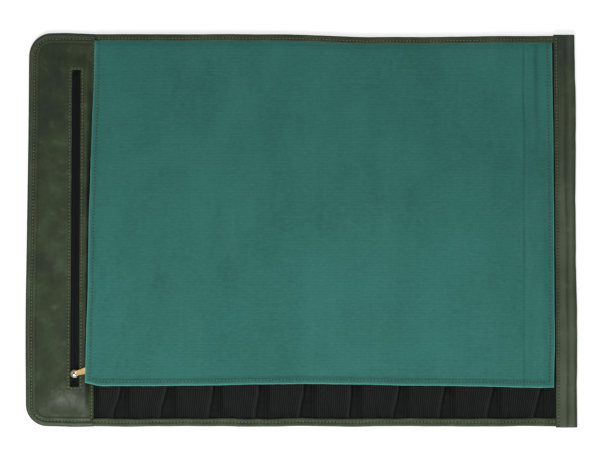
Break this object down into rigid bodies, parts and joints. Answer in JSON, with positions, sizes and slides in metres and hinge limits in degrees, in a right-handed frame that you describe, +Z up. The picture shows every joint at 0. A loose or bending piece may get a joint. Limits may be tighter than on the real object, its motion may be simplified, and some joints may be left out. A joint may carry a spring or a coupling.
{
  "type": "roll-up pencil case",
  "caption": "Roll-up leather pencil case lying open: a row of ribbed cloth pockets under a canvas flap, with a zip pocket at one end.",
  "frame": {"origin": "centre of the underside, on the surface that the open case lies on", "axes": "+X from the zip end to the free end, +Y to the edge that carries the flap, +Z up out of the inside face"},
  "size_m": [0.49, 0.35, 0.0114],
  "materials": {
    "leather": "soft grain, satin",
    "lining": "matt woven cloth",
    "pocket_cloth": "matt, finely ribbed",
    "canvas": "matt canvas weave",
    "zip_tape": "matt woven tape",
    "zip_coil": "satin",
    "slider_metal": "satin",
    "puller_brass": "satin"
  },
  "bodies": {
    "zip_end": {"back_panel_0": "leather", "lining_0": "lining", "zip_panel": "leather", "zip_top_stop": "slider_metal", "zip_bottom_stop": "slider_metal"},
    "section_1": {"back_panel_1": "leather", "lining_1": "lining", "pocket_1": "pocket_cloth"},
    "section_2": {"back_panel_2": "leather", "lining_2": "lining", "pocket_2": "pocket_cloth"},
    "section_3": {"back_panel_3": "leather", "lining_3": "lining", "pocket_3": "pocket_cloth"},
    "section_4": {"back_panel_4": "leather", "lining_4": "lining", "pocket_4": "pocket_cloth"},
    "section_5": {"back_panel_5": "leather", "lining_5": "lining", "pocket_5": "pocket_cloth"},
    "section_6": {"back_panel_6": "leather", "lining_6": "lining", "pocket_6": "pocket_cloth"},
    "section_7": {"back_panel_7": "leather", "lining_7": "lining", "pocket_7": "pocket_cloth"},
    "section_8": {"back_panel_8": "leather", "lining_8": "lining", "pocket_8": "pocket_cloth"},
    "section_9": {"back_panel_9": "leather", "lining_9": "lining", "pocket_9": "pocket_cloth"},
    "section_10": {"back_panel_10": "leather", "lining_10": "lining", "pocket_10": "pocket_cloth"},
    "free_end": {"back_panel_11": "leather", "lining_11": "lining", "end_binding": "leather"},
    "flap_0": {"flap_strip_0": "canvas"},
    "flap_1": {"flap_strip_1": "canvas"},
    "flap_2": {"flap_strip_2": "canvas"},
    "flap_3": {"flap_strip_3": "canvas"},
    "flap_4": {"flap_strip_4": "canvas"},
    "flap_5": {"flap_strip_5": "canvas"},
    "flap_6": {"flap_strip_6": "canvas"},
    "flap_7": {"flap_strip_7": "canvas"},
    "flap_8": {"flap_strip_8": "canvas"},
    "flap_9": {"flap_strip_9": "canvas"},
    "flap_10": {"flap_strip_10": "canvas"},
    "flap_11": {"flap_strip_11": "canvas"},
    "zip_half_left": {"zip_tape_left": "zip_tape", "zip_coil_left": "zip_coil"},
    "zip_half_right": {"zip_tape_right": "zip_tape", "zip_coil_right": "zip_coil"},
    "slider": {"zip_slider": "slider_metal"},
    "puller": {"zip_puller": "puller_brass"}
  },
  "joints": [
    {"name": "cover_fold", "type": "hinge", "parent": "zip_end", "child": "section_1", "pos_m": [-0.184, 0, 0.002], "axis": [0, -1, 0], "range_deg": [0, 30]},
    {"name": "roll_up", "type": "hinge", "parent": "section_1", "child": "section_2", "pos_m": [-0.1564, 0, 0.002], "axis": [0, -1, 0], "range_deg": [0, 37]},
    {"name": "roll_2", "type": "hinge", "parent": "section_2", "child": "section_3", "pos_m": [-0.115, 0, 0.002], "axis": [0, -1, 0], "range_deg": [0, 39.5]},
    {"name": "roll_3", "type": "hinge", "parent": "section_3", "child": "section_4", "pos_m": [-0.0736, 0, 0.002], "axis": [0, -1, 0], "range_deg": [0, 42]},
    {"name": "roll_4", "type": "hinge", "parent": "section_4", "child": "section_5", "pos_m": [-0.0322, 0, 0.002], "axis": [0, -1, 0], "range_deg": [0, 44.5]},
    {"name": "roll_5", "type": "hinge", "parent": "section_5", "child": "section_6", "pos_m": [0.0092, 0, 0.002], "axis": [0, -1, 0], "range_deg": [0, 47]},
    {"name": "roll_6", "type": "hinge", "parent": "section_6", "child": "section_7", "pos_m": [0.0506, 0, 0.002], "axis": [0, -1, 0], "range_deg": [0, 49.5]},
    {"name": "roll_7", "type": "hinge", "parent": "section_7", "child": "section_8", "pos_m": [0.092, 0, 0.002], "axis": [0, -1, 0], "range_deg": [0, 52]},
    {"name": "roll_8", "type": "hinge", "parent": "section_8", "child": "section_9", "pos_m": [0.1334, 0, 0.002], "axis": [0, -1, 0], "range_deg": [0, 54.5]},
    {"name": "roll_9", "type": "hinge", "parent": "section_9", "child": "section_10", "pos_m": [0.1748, 0, 0.002], "axis": [0, -1, 0], "range_deg": [0, 57]},
    {"name": "roll_10", "type": "hinge", "parent": "section_10", "child": "free_end", "pos_m": [0.2162, 0, 0.002], "axis": [0, -1, 0], "range_deg": [0, 59.5]},
    {"name": "flap_open", "type": "hinge", "parent": "zip_end", "child": "flap_0", "pos_m": [0, 0.1679, 0.0047], "axis": [1, 0, 0], "range_deg": [-178, 0]},
    {"name": "flap_cover_fold", "type": "hinge", "parent": "flap_0", "child": "flap_1", "pos_m": [-0.184, 0, 0.002], "axis": [0, -1, 0], "range_deg": [0, 30]},
    {"name": "flap_roll_1", "type": "hinge", "parent": "flap_1", "child": "flap_2", "pos_m": [-0.1564, 0, 0.002], "axis": [0, -1, 0], "range_deg": [0, 37]},
    {"name": "flap_roll_2", "type": "hinge", "parent": "flap_2", "child": "flap_3", "pos_m": [-0.115, 0, 0.002], "axis": [0, -1, 0], "range_deg": [0, 39.5]},
    {"name": "flap_roll_3", "type": "hinge", "parent": "flap_3", "child": "flap_4", "pos_m": [-0.0736, 0, 0.002], "axis": [0, -1, 0], "range_deg": [0, 42]},
    {"name": "flap_roll_4", "type": "hinge", "parent": "flap_4", "child": "flap_5", "pos_m": [-0.0322, 0, 0.002], "axis": [0, -1, 0], "range_deg": [0, 44.5]},
    {"name": "flap_roll_5", "type": "hinge", "parent": "flap_5", "child": "flap_6", "pos_m": [0.0092, 0, 0.002], "axis": [0, -1, 0], "range_deg": [0, 47]},
    {"name": "flap_roll_6", "type": "hinge", "parent": "flap_6", "child": "flap_7", "pos_m": [0.0506, 0, 0.002], "axis": [0, -1, 0], "range_deg": [0, 49.5]},
    {"name": "flap_roll_7", "type": "hinge", "parent": "flap_7", "child": "flap_8", "pos_m": [0.092, 0, 0.002], "axis": [0, -1, 0], "range_deg": [0, 52]},
    {"name": "flap_roll_8", "type": "hinge", "parent": "flap_8", "child": "flap_9", "pos_m": [0.1334, 0, 0.002], "axis": [0, -1, 0], "range_deg": [0, 54.5]},
    {"name": "flap_roll_9", "type": "hinge", "parent": "flap_9", "child": "flap_10", "pos_m": [0.1748, 0, 0.002], "axis": [0, -1, 0], "range_deg": [0, 57]},
    {"name": "flap_roll_10", "type": "hinge", "parent": "flap_10", "child": "flap_11", "pos_m": [0.2162, 0, 0.002], "axis": [0, -1, 0], "range_deg": [0, 59.5]},
    {"name": "zip_slide", "type": "slide", "parent": "zip_end", "child": "slider", "axis": [0, -1, 0], "range_m": [-0.262, 0]},
    {"name": "zip_part_left", "type": "slide", "parent": "zip_end", "child": "zip_half_left", "axis": [1, 0, 0], "range_m": [-0.0026, 0]},
    {"name": "zip_part_right", "type": "slide", "parent": "zip_end", "child": "zip_half_right", "axis": [-1, 0, 0], "range_m": [-0.0026, 0]},
    {"name": "puller_swing", "type": "hinge", "parent": "slider", "child": "puller", "pos_m": [-0.202, -0.128, 0.00975], "axis": [0, 0, 1], "range_deg": [-106, 74]}
  ],
  "couplings": [
    {"joint": "roll_2", "follows": "roll_up", "ratio": 1.0676},
    {"joint": "roll_3", "follows": "roll_up", "ratio": 1.1351},
    {"joint": "roll_4", "follows": "roll_up", "ratio": 1.2027},
    {"joint": "roll_5", "follows": "roll_up", "ratio": 1.2703},
    {"joint": "roll_6", "follows": "roll_up", "ratio": 1.3378},
    {"joint": "roll_7", "follows": "roll_up", "ratio": 1.4054},
    {"joint": "roll_8", "follows": "roll_up", "ratio": 1.473},
    {"joint": "roll_9", "follows": "roll_up", "ratio": 1.5405},
    {"joint": "roll_10", "follows": "roll_up", "ratio": 1.6081},
    {"joint": "flap_cover_fold", "follows": "cover_fold", "ratio": 1},
    {"joint": "flap_roll_1", "follows": "roll_up", "ratio": 1},
    {"joint": "flap_roll_2", "follows": "roll_up", "ratio": 1.0676},
    {"joint": "flap_roll_3", "follows": "roll_up", "ratio": 1.1351},
    {"joint": "flap_roll_4", "follows": "roll_up", "ratio": 1.2027},
    {"joint": "flap_roll_5", "follows": "roll_up", "ratio": 1.2703},
    {"joint": "flap_roll_6", "follows": "roll_up", "ratio": 1.3378},
    {"joint": "flap_roll_7", "follows": "roll_up", "ratio": 1.4054},
    {"joint": "flap_roll_8", "follows": "roll_up", "ratio": 1.473},
    {"joint": "flap_roll_9", "follows": "roll_up", "ratio": 1.5405},
    {"joint": "flap_roll_10", "follows": "roll_up", "ratio": 1.6081},
    {"joint": "zip_part_left", "follows": "zip_slide", "ratio": 0.009924},
    {"joint": "zip_part_right", "follows": "zip_slide", "ratio": 0.009924}
  ]
}
